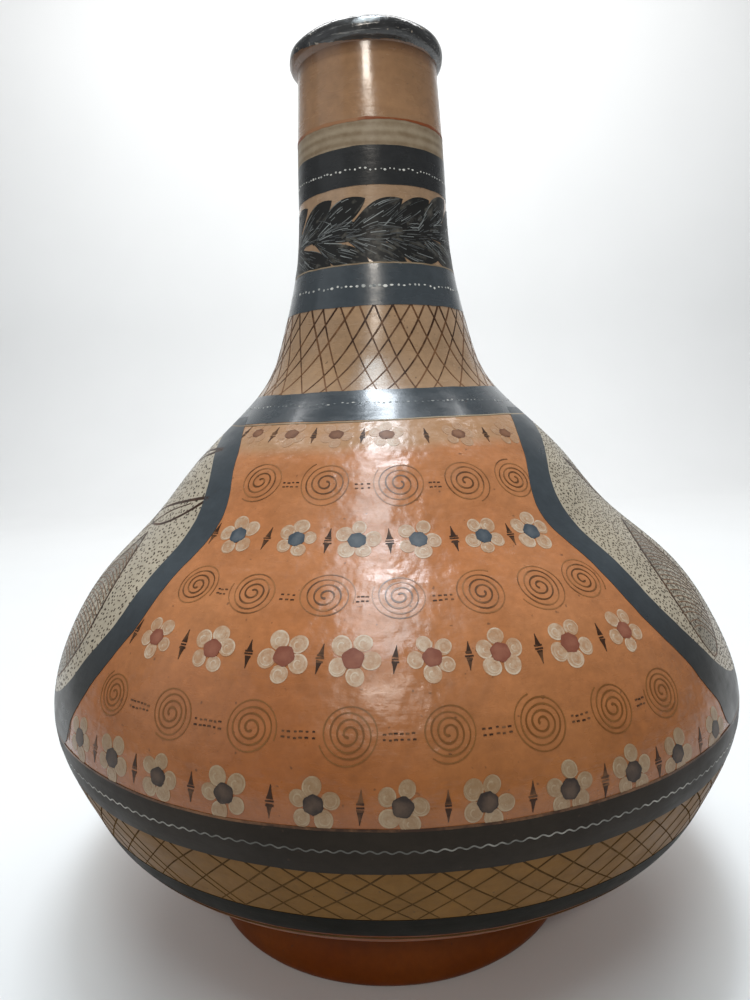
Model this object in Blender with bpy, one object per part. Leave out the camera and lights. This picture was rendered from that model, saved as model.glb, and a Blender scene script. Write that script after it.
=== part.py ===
"""A long-necked, round-bellied clay bottle vase, as the five clay members that a potter lutes together.

The foot ring, the moulded lower bowl, the upper dome, the neck and the rolled lip are all turned round
the Z axis. Each shell member ends in a bevelled edge, and its neighbour's edge is cut to the same bevel.
The vase stands on z = 0 with its axis on x = y = 0. Metres, +Z up.
"""

import math

import bmesh
import bpy
import numpy as np

# Driving dimensions
JOINT_GAP = 0.0005           # measured along Z between two members' bevelled edges
TURNS = 60                   # facets round the axis
MERGE_DISTANCE = 0.00002     # joins the first and last copy of a turned section
SHARP_DEGREES = 35.0         # edges bent more than this stay crisp

OUTLINE = (                  # (height, radius) of the outside, from the foot's seat up to the lip
    (0.0365, 0.0960),
    (0.0480, 0.1195),
    (0.0620, 0.1480),
    (0.0880, 0.1695),
    (0.1260, 0.1814),        # the widest line of the belly
    (0.1650, 0.1700),
    (0.1920, 0.1510),
    (0.2170, 0.1240),        # the shoulder turns hollow here
    (0.2450, 0.1008),
    (0.2660, 0.0795),
    (0.2840, 0.0625),        # the skirt of the neck
    (0.3100, 0.0514),
    (0.3500, 0.0420),
    (0.3900, 0.0395),
    (0.4520, 0.0366),
)
BELLY_SEAM = 0.1260          # bowl to dome, on the widest line
SHOULDER_SEAM = 0.2725       # dome to neck, at the foot of the neck's skirt
LIP_SEAM = 0.4448            # neck to lip

WALL_AT_FLOOR = 0.0085
WALL_AT_LIP = 0.0056
BEVEL_RISE = 0.0060          # how much higher a shell member's edge is inside than outside
LIP_BEVEL_RISE = 0.0030

FLOOR_UNDERSIDE = 0.0180     # height of the floor's lowest point, inside the foot ring
FLOOR_CURVE_POWER = 2.5      # the floor is nearly flat in the middle and bends up to the wall
FLOOR_THICKNESS = 0.0085
FLOOR_CORNER_RISE = 0.0020   # the floor meets the wall a little above the foot's seat
FLOOR_STEPS = 4
SEAT_INNER_RADIUS = 0.0835   # the foot ring is luted to the floor between these two radii
SEAT_OUTER_RADIUS = OUTLINE[0][1]

FOOT_SOLE_INNER = 0.0890     # the flat ring that the vase rests on
FOOT_SOLE_OUTER = 0.0965
FOOT_FLARE_RADIUS = 0.1004   # the outside of the foot just above its rounded lower edge
FOOT_EDGE_HEIGHT = 0.0045
FOOT_INNER_EDGE_RADIUS = 0.0865
FOOT_EDGE_STEPS = 3

LIP_MIDDLE_RADIUS = 0.0325
LIP_MIDDLE_HEIGHT = 0.4520
LIP_OUTWARD = 0.0080         # the roll's half width outside its middle
LIP_INWARD = 0.0025          # and inside it, where it turns down into the bore
LIP_HALF_HEIGHT = 0.0080
LIP_START_DEGREES = -58.0    # where the roll leaves the neck's edge
LIP_OUTER_STEPS = 8
LIP_INNER_STEPS = 3

BOWL_STEPS = (10, 8)         # facets up the outside and the inside of each shell member
DOME_STEPS = (12, 9)
NECK_STEPS = (9, 7)

ORANGE_SLIP = (0.42, 0.145, 0.045)
TAN_SLIP = (0.36, 0.21, 0.10)
BLACK_SLIP = (0.030, 0.032, 0.034)
BARE_TERRACOTTA = (0.25, 0.060, 0.018)
BURNISHED = 0.30
PLAIN_CLAY = 0.55


def natural_spline(points):
    """A function of height that runs smoothly through the (height, radius) points, and its slope."""
    at, value = np.array(points, float).T
    step = np.diff(at)
    rise = np.diff(value) / step
    count = len(at)
    matrix = np.eye(count)
    right = np.zeros(count)
    for i in range(1, count - 1):
        matrix[i, i - 1:i + 2] = step[i - 1], 2 * (step[i - 1] + step[i]), step[i]
        right[i] = 6 * (rise[i] - rise[i - 1])
    bend = np.linalg.solve(matrix, right)

    def radius(height):
        i = int(np.clip(np.searchsorted(at, height) - 1, 0, count - 2))
        after = height - at[i]
        before = at[i + 1] - height
        ends = (bend[i] * before ** 3 + bend[i + 1] * after ** 3) / (6 * step[i])
        low = (value[i] / step[i] - bend[i] * step[i] / 6) * before
        high = (value[i + 1] / step[i] - bend[i + 1] * step[i] / 6) * after
        return ends + low + high

    def slope(height, reach=1e-5):
        return (radius(height + reach) - radius(height - reach)) / (2 * reach)

    return radius, slope


outside_radius, outside_slope = natural_spline(OUTLINE)


def wall_thickness(height):
    low = OUTLINE[0][0]
    share = (height - low) / (OUTLINE[-1][0] - low)
    return WALL_AT_FLOOR + (WALL_AT_LIP - WALL_AT_FLOOR) * share


def outside(height):
    """The point (radius, height) on the outside."""
    return outside_radius(height), height


def inside(height):
    """The point on the inner face straight through the wall from the outside at that height."""
    lean = outside_slope(height)
    reach = wall_thickness(height) / math.hypot(1, lean)
    return outside_radius(height) - reach, height + reach * lean


def floor_underside(radius):
    rise = OUTLINE[0][0] - FLOOR_UNDERSIDE
    return FLOOR_UNDERSIDE + rise * (radius / SEAT_OUTER_RADIUS) ** FLOOR_CURVE_POWER


def shell_section(low, high, steps, rise_low=BEVEL_RISE, rise_high=BEVEL_RISE):
    """The closed outline of a shell member between two heights: up the outside, then down the inside."""
    outer_steps, inner_steps = steps
    outer = [outside(h) for h in np.linspace(low, high, outer_steps + 1)]
    inner = [inside(h) for h in np.linspace(high + rise_high, low + rise_low, inner_steps + 1)]
    return outer + inner


def bowl_section():
    """From the middle out under the floor, up the outside, down the inside and back along the floor."""
    under_radii = np.linspace(0, SEAT_INNER_RADIUS, FLOOR_STEPS + 1)
    under = [(r, floor_underside(r)) for r in under_radii]
    wall = shell_section(OUTLINE[0][0], BELLY_SEAM, BOWL_STEPS, rise_low=FLOOR_CORNER_RISE)
    corner_radius, corner_height = wall[-1]
    floor_middle = FLOOR_UNDERSIDE + FLOOR_THICKNESS
    floor = []
    for r in np.linspace(corner_radius, 0, FLOOR_STEPS + 1)[1:]:
        share = (r / corner_radius) ** FLOOR_CURVE_POWER
        floor.append((r, floor_middle + (corner_height - floor_middle) * share))
    return under + wall + floor


def dome_section():
    return shell_section(BELLY_SEAM + JOINT_GAP, SHOULDER_SEAM, DOME_STEPS)


def neck_section():
    return shell_section(SHOULDER_SEAM + JOINT_GAP, LIP_SEAM, NECK_STEPS, rise_high=LIP_BEVEL_RISE)


def lip_section():
    """The roll outside the mouth, its inner turn into the bore, and the bevel that meets the neck."""
    def on_roll(degrees, half_width):
        angle = math.radians(degrees)
        return (LIP_MIDDLE_RADIUS + half_width * math.cos(angle),
                LIP_MIDDLE_HEIGHT + LIP_HALF_HEIGHT * math.sin(angle))

    outer = [on_roll(a, LIP_OUTWARD) for a in np.linspace(LIP_START_DEGREES, 90, LIP_OUTER_STEPS + 1)]
    inner = [on_roll(a, LIP_INWARD) for a in np.linspace(90, 180, LIP_INNER_STEPS + 1)[1:]]
    bore_radius, bore_height = inside(LIP_SEAM + LIP_BEVEL_RISE)
    return outer + inner + [(bore_radius, bore_height + JOINT_GAP)]


def foot_section():
    """The seat under the floor, the inside, the rounded lower edges with the flat sole, and the outside."""
    def rounded_edge(sole_radius, side_radius):
        turns = np.linspace(0, math.pi / 2, FOOT_EDGE_STEPS + 1)
        return [(sole_radius + (side_radius - sole_radius) * math.sin(turn),
                 FOOT_EDGE_HEIGHT * (1 - math.cos(turn))) for turn in turns]

    seat_inner = (SEAT_INNER_RADIUS, floor_underside(SEAT_INNER_RADIUS) - JOINT_GAP)
    seat_outer = (SEAT_OUTER_RADIUS, OUTLINE[0][0] - JOINT_GAP)
    inner_edge = rounded_edge(FOOT_SOLE_INNER, FOOT_INNER_EDGE_RADIUS)
    outer_edge = rounded_edge(FOOT_SOLE_OUTER, FOOT_FLARE_RADIUS)
    return [seat_inner, *reversed(inner_edge), *outer_edge, seat_outer]


def material(name, colour, roughness):
    made = bpy.data.materials.new(name)
    made.use_nodes = True
    shader = made.node_tree.nodes["Principled BSDF"]
    shader.inputs["Base Color"].default_value = (*colour, 1.0)
    shader.inputs["Roughness"].default_value = roughness
    shader.inputs["Metallic"].default_value = 0.0
    made.diffuse_color = (*colour, 1.0)
    return made


def turned(name, section, closed, colour, roughness):
    """Turns a section once round the axis. A section that isn't closed starts and ends on the axis."""
    bm = bmesh.new()
    verts = [bm.verts.new((radius, 0.0, height)) for radius, height in section]
    edges = [bm.edges.new(pair) for pair in zip(verts, verts[1:])]
    if closed:
        edges.append(bm.edges.new((verts[-1], verts[0])))
    bmesh.ops.spin(bm, geom=verts + edges, cent=(0, 0, 0), axis=(0, 0, 1), dvec=(0, 0, 0),
                   angle=2 * math.pi, steps=TURNS, use_merge=True)
    bmesh.ops.remove_doubles(bm, verts=bm.verts[:], dist=MERGE_DISTANCE)
    bmesh.ops.recalc_face_normals(bm, faces=bm.faces[:])
    mesh = bpy.data.meshes.new(name)
    bm.to_mesh(mesh)
    bm.free()
    mesh.shade_smooth()
    mesh.set_sharp_from_angle(angle=math.radians(SHARP_DEGREES))
    mesh.materials.append(material(name + "_clay", colour, roughness))
    made = bpy.data.objects.new(name, mesh)
    bpy.context.scene.collection.objects.link(made)
    return made


def main():
    for old in list(bpy.data.objects):
        bpy.data.objects.remove(old)
    pot = bpy.data.objects.new("bottle_vase", None)
    bpy.context.scene.collection.objects.link(pot)
    members = [
        turned("foot_ring", foot_section(), True, BARE_TERRACOTTA, PLAIN_CLAY),
        turned("lower_bowl", bowl_section(), False, ORANGE_SLIP, BURNISHED),
        turned("upper_dome", dome_section(), True, ORANGE_SLIP, BURNISHED),
        turned("neck", neck_section(), True, TAN_SLIP, BURNISHED),
        turned("lip_roll", lip_section(), True, BLACK_SLIP, BURNISHED),
    ]
    for member in members:
        member.parent = pot


main()
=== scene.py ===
"""The looks of a slip-painted, burnished clay bottle vase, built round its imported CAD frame.

The five clay members are turned again at a finer step. Every painted band, line and dab is a thin
raised film of slip that follows the clay. Azimuth 0 is -Y, the middle of the front flowered panel, and
grows towards +X. Metres, +Z up.
"""
import math
import random

import bmesh
import bpy
import numpy as np
from mathutils import Matrix, Vector


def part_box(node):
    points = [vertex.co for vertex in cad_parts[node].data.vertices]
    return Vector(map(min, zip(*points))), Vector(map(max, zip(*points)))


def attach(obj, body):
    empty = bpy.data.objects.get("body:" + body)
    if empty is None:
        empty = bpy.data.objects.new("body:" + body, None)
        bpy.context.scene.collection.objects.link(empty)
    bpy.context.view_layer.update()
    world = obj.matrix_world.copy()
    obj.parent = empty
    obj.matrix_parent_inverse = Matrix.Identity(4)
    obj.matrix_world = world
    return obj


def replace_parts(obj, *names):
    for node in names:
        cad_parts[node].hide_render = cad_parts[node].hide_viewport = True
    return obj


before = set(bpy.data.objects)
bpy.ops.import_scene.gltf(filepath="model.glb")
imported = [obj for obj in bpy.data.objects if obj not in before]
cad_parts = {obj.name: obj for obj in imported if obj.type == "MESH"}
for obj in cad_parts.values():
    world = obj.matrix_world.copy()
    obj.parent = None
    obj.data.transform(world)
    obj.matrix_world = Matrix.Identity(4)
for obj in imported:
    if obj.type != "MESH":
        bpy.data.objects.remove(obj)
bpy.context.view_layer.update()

random.seed(11)
MM = 0.001
TINY = 1e-9                  # keeps a length from being nothing where it divides

# ---- the clay's outline, close to the CAD's
OUTLINE = (                  # (height, radius) of the outside
    (0.0365, 0.0960),
    (0.0480, 0.1195),
    (0.0620, 0.1480),
    (0.0880, 0.1695),
    (0.1260, 0.1814),
    (0.1650, 0.1700),
    (0.1920, 0.1510),
    (0.2170, 0.1240),
    (0.2450, 0.1008),
    (0.2660, 0.0795),
    (0.2840, 0.0625),
    (0.3100, 0.0514),
    (0.3500, 0.0420),
    (0.3900, 0.0395),
    (0.4520, 0.0366),
)
WALL_AT_FLOOR = 0.0085
WALL_AT_LIP = 0.0056
BEVEL_RISE = 0.0060
LIP_BEVEL_RISE = 0.0030
FLOOR_UNDERSIDE = 0.0180
FLOOR_CURVE_POWER = 2.5
FLOOR_THICKNESS = 0.0085
FLOOR_CORNER_RISE = 0.0020
SEAT_INNER_RADIUS = 0.0835
FOOT_SOLE = (0.0890, 0.0985)
FOOT_FLARE_RADIUS = 0.1020
FOOT_INNER_RADIUS = 0.0865
FOOT_EDGE_HEIGHT = 0.0045
FOOT_SIDE_POWER = 1.3         # above 1, the foot's side bulges a little
LIP_MIDDLE = (0.0325, 0.4530)
LIP_OUTWARD = 0.0080
LIP_INWARD = 0.0025
LIP_HALF_HEIGHT = 0.0065
LIP_START_DEGREES = -35.0     # where the roll comes out of the hollow above the neck
LIP_HOLLOW_START = 0.0023     # and how far above the lip's seam that hollow starts
LIP_SQUARENESS = 0.80         # below 1, the roll is fuller than an ellipse

# The hand-built wall leans a little to one side and back: (height, shift along X)
LEANING = (
    (0.0000, -0.0035),
    (0.0365, -0.0035),
    (0.0550, -0.0005),
    (0.0750, 0.0022),
    (0.1000, 0.0028),
    (0.1200, 0.0026),
    (0.1500, 0.0011),
    (0.1800, 0.0000),
    (0.2150, -0.0022),
    (0.2500, -0.0012),
    (0.2800, -0.0008),
    (0.3300, 0.0000),
    (0.4600, 0.0000),
)

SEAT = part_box("foot_ring")[1].z          # the members meet at these heights
BELLY_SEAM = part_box("upper_dome")[0].z
SHOULDER_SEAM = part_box("neck")[0].z
LIP_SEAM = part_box("lip_roll")[0].z
SEAM_GAP = 0.0003
WALL_STEP = 0.0022           # between the points of a wall's section
FLOOR_STEPS = 24
ON_AXIS = 0.000001           # points nearer than this to the axis lie on it
ROUND_WITHIN = 0.03          # nearer than this to the axis, the clay strays less and less

# The clay strays from a true round in waves: (size, waves in a turn, phase, turn per metre of height)
SWAY = ((0.0006, 2, 1.1, 9), (0.0004, 3, 0, -14))
RIPPLE = ((0.00010, 7, 0, 60), (0.00008, 11, 0, -95))
LIP_WOBBLE = ((0.00040, 3, 0.4, 0), (0.00022, 8, 0, 300))
SWAY_MIDDLE = 0.17           # the belly sways most at this height,
SWAY_REACH = 0.09            # and much less this far above and below it
WOBBLE_START = 0.004         # the lip's wobble grows over this stretch above its hollow

# ---- painted bands: (lowest, highest) height
FOOT_LINE = (0.0728, 0.0745)
LOWEST_BLACK = (0.0757, 0.0860)
LOWER_LATTICE = (0.0860, 0.1115)
BELT = (0.1115, 0.1288)
COLLAR = (0.2654, 0.2795)
UPPER_LATTICE = (0.2795, 0.3209)
LOWER_NECK_BAND = (0.3209, 0.3415)
UPPER_NECK_BAND = (0.3795, 0.3985)
CREAM_BAND = (0.3975, 0.4108)
NECK_LINE = 0.4113

# ---- films of slip
LIFT = 0.00007               # a first film's height above the clay
LAYER = 0.00005              # each further film lies this much higher
SINK = 0.00012               # how deep a film's underside lies in the clay
TURNS = 288                  # facets round the axis


def full_turn(steps, whole=2 * math.pi):
    """Evenly spread angles all the way round, in radians unless the whole is given as 360."""
    return np.linspace(0, whole, steps, endpoint=False)


ROUND = full_turn(TURNS * 2, 360)        # azimuths along a painted ring, in degrees

def natural_spline(at, value):
    """A smooth function through the points: a natural cubic spline."""
    at = np.asarray(at, float)
    value = np.asarray(value, float)
    step = np.diff(at)
    rise = np.diff(value) / step
    matrix = np.eye(len(at))
    right = np.zeros(len(at))
    for i in range(1, len(at) - 1):
        matrix[i, i - 1:i + 2] = step[i - 1], 2 * (step[i - 1] + step[i]), step[i]
        right[i] = 6 * (rise[i] - rise[i - 1])
    bend = np.linalg.solve(matrix, right)

    def curve(where):
        where = np.asarray(where, float)
        i = np.clip(np.searchsorted(at, where) - 1, 0, len(at) - 2)
        after = where - at[i]
        before = at[i + 1] - where
        ends = (bend[i] * before ** 3 + bend[i + 1] * after ** 3) / (6 * step[i])
        low = (value[i] / step[i] - bend[i] * step[i] / 6) * before
        high = (value[i + 1] / step[i] - bend[i + 1] * step[i] / 6) * after
        return ends + low + high

    return curve


def smooth_path(points, steps):
    """Evenly spread (degrees, height) points on a smooth curve, where a degree counts like a millimetre."""
    points = np.asarray(points, float)
    spans = np.hypot(*np.diff(points * (1, 1 / MM), axis=0).T)
    at = np.concatenate([[0], np.cumsum(spans)])
    where = np.linspace(0, at[-1], steps)
    return np.stack([natural_spline(at, points[:, k])(where) for k in range(points.shape[1])], -1)


outside_radius = natural_spline(*zip(*OUTLINE))
lean_at = natural_spline(*zip(*LEANING))


def outside_slope(height, reach=1e-5):
    return (outside_radius(height + reach) - outside_radius(height - reach)) / (2 * reach)


ARC_HEIGHTS = np.linspace(0.0300, 0.4560, 4000)
ARC_LENGTHS = np.concatenate([[0], np.cumsum(np.hypot(np.diff(ARC_HEIGHTS),
                                                      np.diff(outside_radius(ARC_HEIGHTS))))])


def arc_at(height):
    """Length along the outline from its foot to a height."""
    return np.interp(height, ARC_HEIGHTS, ARC_LENGTHS)


def height_at(arc):
    return np.interp(arc, ARC_LENGTHS, ARC_HEIGHTS)


def waves(rows, angle, height):
    return sum(size * np.sin(count * angle + phase + climb * height) for size, count, phase, climb in rows)


def unevenness(angle, height):
    """How far the hand-built wall strays from a true round, in metres. The angle is in radians."""
    belly = np.exp(-((height - SWAY_MIDDLE) / SWAY_REACH) ** 2)
    stray = belly * waves(SWAY, angle, height) + (0.4 + 0.6 * belly) * waves(RIPPLE, angle, height)
    return lean_at(height) * np.sin(angle) + stray


def about_axis(angle, radius, height):
    """The points at those angles, radii and heights. Angle 0 is -Y."""
    height = np.broadcast_to(height, np.shape(radius))
    return np.stack([radius * np.sin(angle), -radius * np.cos(angle), height], -1)


def on_pot(azimuth, height, lift):
    """The point over the outside at that azimuth in degrees and height, lifted along the wall's normal."""
    angle = np.radians(azimuth)
    height = np.asarray(height, float)
    lean = outside_slope(height)
    along = lift / np.hypot(1, lean)
    radius = outside_radius(height) + unevenness(angle, height) + along
    return about_axis(angle, radius, height - along * lean)


def near(azimuth, height, across, up):
    """Surface coordinates of the point that lies across and up, in metres, from a given one."""
    there = height_at(arc_at(height) + up)
    return azimuth + np.degrees(across / outside_radius(there)), there


def lip_outline():
    """From the seam up the neck's last stretch, out over a soft hollow, round the roll and into the bore."""
    angle = np.radians(np.linspace(LIP_START_DEGREES, 180, 90))
    half = np.where(np.cos(angle) >= 0, LIP_OUTWARD, LIP_INWARD)
    out = half * np.sign(np.cos(angle)) * np.abs(np.cos(angle)) ** LIP_SQUARENESS
    roll = np.stack([LIP_MIDDLE[0] + out, LIP_MIDDLE[1] + LIP_HALF_HEIGHT * np.sin(angle)], -1)
    neck = float(outside_radius(LIP_SEAM))
    start = LIP_SEAM + LIP_HOLLOW_START
    return np.vstack([[(neck, LIP_SEAM), (neck, start), (neck + 0.0006, start + 0.0007)], roll])


LIP_POINTS = lip_outline()
LIP_LENGTHS = np.concatenate([[0], np.cumsum(np.hypot(*np.diff(LIP_POINTS, axis=0).T))])


def lip_unevenness(angle, height):
    growth = np.clip((height - LIP_SEAM - LIP_HOLLOW_START) / WOBBLE_START, 0, 1)
    return growth * waves(LIP_WOBBLE, angle, height)


def on_lip(azimuth, along, lift, reach=0.0003):
    """The point over the rolled lip at that azimuth and that way along its outline from the seam."""
    angle = np.radians(azimuth)
    ahead, here, behind = (np.stack([np.interp(along + step, LIP_LENGTHS, LIP_POINTS[:, k]) for k in (0, 1)])
                           for step in (reach, 0, -reach))
    course = (ahead - behind) / np.maximum(np.hypot(*(ahead - behind)), TINY)
    radius, height = here[0] + lift * course[1], here[1] - lift * course[0]
    return about_axis(angle, radius + lip_unevenness(angle, height), height)


# ---- meshes
def finish_mesh(name, points, faces, materials, indices=None, tones=None, sharp=40.0):
    """A smooth-shaded object that rides on the vase and has its normals out."""
    mesh = bpy.data.meshes.new(name)
    mesh.from_pydata(points, [], faces)
    if tones is not None:
        mesh.attributes.new("tone", "FLOAT", "POINT").data.foreach_set("value", tones)
    if indices is not None:
        mesh.polygons.foreach_set("material_index", indices)
    bm = bmesh.new()
    bm.from_mesh(mesh)
    bmesh.ops.recalc_face_normals(bm, faces=bm.faces[:])
    bm.to_mesh(mesh)
    bm.free()
    mesh.shade_smooth()
    mesh.set_sharp_from_angle(angle=math.radians(sharp))
    for material in materials:
        mesh.materials.append(material)
    made = bpy.data.objects.new(name, mesh)
    bpy.context.scene.collection.objects.link(made)
    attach(made, "root")
    return made


class Paint:
    """Thin raised films of one slip, gathered into one mesh. Each film is closed all round."""

    def __init__(self, layer, surface=on_pot):
        self.lift = LIFT + LAYER * layer
        self.surface = surface
        self.points = []
        self.tones = []
        self.faces = []
        self.count = 0

    def add(self, azimuths, heights, tone):
        """Adds the film's upper points and the matching lower ones. Returns both as index grids."""
        azimuths, heights = np.broadcast_arrays(azimuths, heights)
        tone = np.broadcast_to(tone, azimuths.shape).ravel()
        upper = np.arange(azimuths.size).reshape(azimuths.shape) + self.count
        lower = upper + azimuths.size
        for lift in (self.lift, -SINK):
            self.points.append(self.surface(azimuths, heights, lift).reshape(-1, 3))
            self.tones.append(tone)
        self.count += 2 * azimuths.size
        return upper, lower

    def quads(self, *corners):
        self.faces.append(np.stack(corners, -1).reshape(-1, len(corners)))

    def sheet(self, azimuths, heights, tone=0.5, ring=False):
        """A film over a grid of surface points. Rows follow the film, and a ring joins its ends."""
        upper, lower = self.add(azimuths, heights, tone)
        if ring:
            upper = np.vstack([upper, upper[:1]])
            lower = np.vstack([lower, lower[:1]])
        for side in (upper, lower):
            self.quads(side[:-1, :-1], side[1:, :-1], side[1:, 1:], side[:-1, 1:])
        for edge in (0, -1):
            self.quads(upper[:-1, edge], upper[1:, edge], lower[1:, edge], lower[:-1, edge])
            if not ring:
                self.quads(upper[edge, :-1], upper[edge, 1:], lower[edge, 1:], lower[edge, :-1])

    def stroke(self, azimuths, heights, half_width, tone, ring=False):
        """A brush line along a path of surface points."""
        azimuths = np.asarray(azimuths, float)
        heights = np.broadcast_to(heights, azimuths.shape)
        radius = outside_radius(heights)
        side = np.gradient(np.radians(azimuths)) * radius
        rise = np.gradient(arc_at(heights))
        half = half_width / np.maximum(np.hypot(side, rise), TINY)
        turn = np.degrees(rise * half / radius)
        climb = side * half / np.hypot(1, outside_slope(heights))
        tone = np.broadcast_to(tone, azimuths.shape)
        self.sheet(np.stack([azimuths - turn, azimuths + turn], -1),
                   np.stack([heights + climb, heights - climb], -1), np.stack([tone, tone], -1), ring)

    def dab(self, azimuth, height, across, up, radii, shares, tones):
        """A round touch of the brush: radii go round it, shares and tones go from its middle out.

        A tone may be a single value or a list of values that go round the dab.
        """
        turn = full_turn(len(radii))[:, None]
        reach = np.outer(radii, shares)
        grid = near(azimuth, height, across + reach * np.cos(turn), up + reach * np.sin(turn))
        ring_tones = np.stack([np.broadcast_to(tone, len(radii)) for tone in tones[1:]], -1)
        upper, lower = self.add(*grid, ring_tones)
        middle = self.add(*[np.reshape(v, (1, 1)) for v in near(azimuth, height, across, up)], tones[0])
        for side, centre in zip((upper, lower), middle):
            looped = np.vstack([side, side[:1]])
            self.quads(looped[:-1, :-1], looped[1:, :-1], looped[1:, 1:], looped[:-1, 1:])
            self.quads(looped[:-1, 0], looped[1:, 0], np.repeat(centre.ravel(), len(radii)))
        rim = [np.append(side[:, -1], side[0, -1]) for side in (upper, lower)]
        self.quads(rim[0][:-1], rim[0][1:], rim[1][1:], rim[1][:-1])

    def make(self, name, material, slot):
        faces = [face for block in self.faces for face in block.tolist()]
        finish_mesh(name, np.concatenate(self.points), faces, [material],
                    tones=np.concatenate(self.tones).astype(np.float32))


# ---- materials
class Shader:
    """A small helper for building one node material."""

    def __init__(self, name):
        self.material = bpy.data.materials.new(name)
        self.material.use_nodes = True
        self.tree = self.material.node_tree
        self.surface = self.tree.nodes["Principled BSDF"]
        self.place = self.node("ShaderNodeTexCoord").outputs["Object"]

    def node(self, kind, inputs=(), **settings):
        made = self.tree.nodes.new(kind)
        for name, value in settings.items():
            setattr(made, name, value)
        for name, value in dict(inputs).items():
            self.feed(made.inputs[name], value)
        return made

    def feed(self, socket, value):
        if isinstance(value, bpy.types.NodeSocket):
            self.tree.links.new(value, socket)
        else:
            socket.default_value = value

    def stretched(self, scale):
        return self.node("ShaderNodeVectorMath", {0: self.place, 1: scale}, operation="MULTIPLY").outputs[0]

    def noise(self, scale, detail=3.0, roughness=0.55, place=None):
        return self.node("ShaderNodeTexNoise", {"Vector": place or self.place, "Scale": scale,
                                                "Detail": detail, "Roughness": roughness}).outputs["Fac"]

    def remap(self, value, low, high, to_low=0.0, to_high=1.0):
        return self.node("ShaderNodeMapRange", {"Value": value, "From Min": low, "From Max": high,
                                                "To Min": to_low, "To Max": to_high}).outputs["Result"]

    def mix(self, share, first, second, blend="MIX"):
        """Mixes two colours. A blend of MULTIPLY darkens the first by the second."""
        made = self.node("ShaderNodeMix", data_type="RGBA", blend_type=blend)
        for socket, value in ((made.inputs[0], share), (made.inputs[6], first), (made.inputs[7], second)):
            self.feed(socket, (*value, 1.0) if isinstance(value, tuple) else value)
        return made.outputs[2]

    def add(self, first, second):
        return self.node("ShaderNodeMath", {0: first, 1: second}, operation="ADD").outputs[0]

    def times(self, first, second):
        return self.node("ShaderNodeMath", {0: first, 1: second}, operation="MULTIPLY").outputs[0]

    def speckle(self, amount, scale, detail=3.0, roughness=0.6):
        """A noise that strays by about the amount to either side of nothing."""
        return self.remap(self.noise(scale, detail, roughness), *SPREAD, -amount, amount)

    def tone(self):
        return self.node("ShaderNodeAttribute", attribute_name="tone").outputs["Fac"]

    def height(self):
        return self.node("ShaderNodeSeparateXYZ", {0: self.place}).outputs["Z"]


def grey(value):
    return (value, value, value)


def burnished(shader, colour, roughness, bump=0.25, gloss=0.5, coat=0.12, ridges=0.45, dents=0.9):
    """Gives the surface the look of slip that was rubbed smooth with a stone, in short level strokes."""
    streaks = shader.noise(1.0, 3.0, 0.6, shader.stretched(RUBBING))
    grain = shader.noise(520.0, 3.0, 0.6)
    pits = shader.noise(95.0, 2.0, 0.5)
    patches = shader.noise(38.0, 3.0, 0.6)
    rough = shader.add(shader.remap(streaks, *SPREAD, roughness - 0.03, roughness + 0.04),
                       shader.remap(patches, *SPREAD, -0.07, 0.09))
    shine = shader.surface.inputs
    shader.feed(shine["Base Color"], colour)
    shader.feed(shine["Roughness"], rough)
    shine["Specular IOR Level"].default_value = gloss
    shine["Coat Weight"].default_value = coat
    shine["Coat Roughness"].default_value = COAT_ROUGHNESS
    relief = shader.add(shader.times(streaks, ridges), shader.times(pits, dents))
    relief = shader.add(relief, shader.times(grain, 0.25))
    made = shader.node("ShaderNodeBump", {"Strength": bump, "Distance": RELIEF_DEPTH, "Height": relief})
    shader.feed(shine["Normal"], made.outputs["Normal"])
    return shader.material


def mottled(shader, colours, cloud_scale=9.0, streak=0.05):
    """Mixes two tones in soft clouds, with smaller blotches, faint rubbing streaks and a fine grain."""
    colour = shader.mix(shader.remap(shader.noise(cloud_scale, 4.0, 0.6), *CLOUD_SPREAD), *colours)
    rubbed = shader.noise(1.0, 3.0, 0.6, shader.stretched(WIDE_RUBBING))
    colour = shader.mix(shader.remap(rubbed, *SPREAD, 0.0, streak * 2), colour, grey(0.0))
    grain = shader.remap(shader.noise(240.0, 4.0, 0.65), *SPREAD, 0.90, 1.10)
    grain = shader.add(grain, shader.speckle(0.09, 46.0, 4.0, 0.65))
    colour = shader.mix(1.0, colour, shader.node("ShaderNodeCombineColor", {
        "Red": grain, "Green": grain, "Blue": grain}).outputs[0], "MULTIPLY")
    spots = shader.remap(shader.noise(420.0, 1.0, 0.4), 0.74, 0.80, 0.0, 0.55)
    return shader.mix(spots, colour, IRON_SPOT)


def darkened_low(shader, colour, tint, low, high):
    """Tints the colour fully at the first height, and less and less on the way to the second."""
    share = shader.remap(shader.height(), low, high)
    return shader.mix(1.0, colour, shader.mix(share, tint, grey(1.0)), "MULTIPLY")


def clay_material(name, colours, roughness, bump=0.25, gloss=0.5, coat=0.12, low=None):
    """A slip or clay. low is (tint, lower height, upper height): painted shade that makes the slip browner
    and darker lower down.
    """
    shader = Shader(name)
    colour = mottled(shader, colours)
    if low:
        colour = darkened_low(shader, colour, *low)
    return burnished(shader, colour, roughness, bump, gloss, coat)


def tan_material(name):
    """Tan slip, warmer above the cream band, with painted shade darkening it brown under the lip's roll."""
    shader = Shader(name)
    colour = darkened_low(shader, mottled(shader, TAN), (0.88, 0.75, 0.63), 0.414, 0.404)
    # painted shade: the tan is darkened brown under the overhang of the lip's roll
    colour = darkened_low(shader, colour, (0.46, 0.40, 0.34), 0.4475, 0.4415)
    return burnished(shader, colour, 0.25, 0.32, coat=0.35)


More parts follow.
